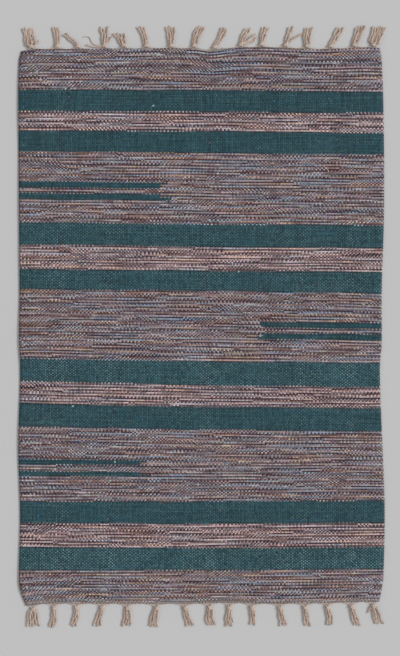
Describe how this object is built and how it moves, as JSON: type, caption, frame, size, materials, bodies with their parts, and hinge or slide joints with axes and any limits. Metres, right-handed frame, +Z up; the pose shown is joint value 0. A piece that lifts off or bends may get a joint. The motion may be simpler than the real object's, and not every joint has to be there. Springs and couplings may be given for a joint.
{
  "type": "kilim rug",
  "caption": "Flat-woven cotton kilim rug with broad plain and melange stripes, short part-way lines and a fringe of knotted tassels along both ends, lying flat on the floor",
  "frame": {"origin": "middle of the rug's length and width, on the floor that it lies on", "axes": "+X across the rug along the wefts, +Y along the warps towards the end whose tassels are more tousled, +Z up out of the cloth's face"},
  "size_m": [0.6069, 0.9957, 0.0066],
  "materials": {
    "woven_cotton": "matt weft-faced plain weave in stripes: dark teal, and melanges of plum with pale pink, tan and grey-blue",
    "cotton_yarn": "matt undyed cotton yarn, twisted, pale tan"
  },
  "bodies": {
    "root": {"cloth": "woven_cotton", "tassel_top_01": "cotton_yarn", "tassel_top_02": "cotton_yarn", "tassel_top_03": "cotton_yarn", "tassel_top_04": "cotton_yarn", "tassel_top_05": "cotton_yarn", "tassel_top_06": "cotton_yarn", "tassel_top_07": "cotton_yarn", "tassel_top_08": "cotton_yarn", "tassel_top_09": "cotton_yarn", "tassel_top_10": "cotton_yarn", "tassel_top_11": "cotton_yarn", "tassel_top_12": "cotton_yarn", "tassel_top_13": "cotton_yarn", "tassel_top_14": "cotton_yarn", "tassel_top_15": "cotton_yarn", "tassel_top_16": "cotton_yarn", "tassel_bottom_01": "cotton_yarn", "tassel_bottom_02": "cotton_yarn", "tassel_bottom_03": "cotton_yarn", "tassel_bottom_04": "cotton_yarn", "tassel_bottom_05": "cotton_yarn", "tassel_bottom_06": "cotton_yarn", "tassel_bottom_07": "cotton_yarn", "tassel_bottom_08": "cotton_yarn", "tassel_bottom_09": "cotton_yarn", "tassel_bottom_10": "cotton_yarn", "tassel_bottom_11": "cotton_yarn", "tassel_bottom_12": "cotton_yarn", "tassel_bottom_13": "cotton_yarn", "tassel_bottom_14": "cotton_yarn", "tassel_bottom_15": "cotton_yarn"}
  },
  "joints": []
}
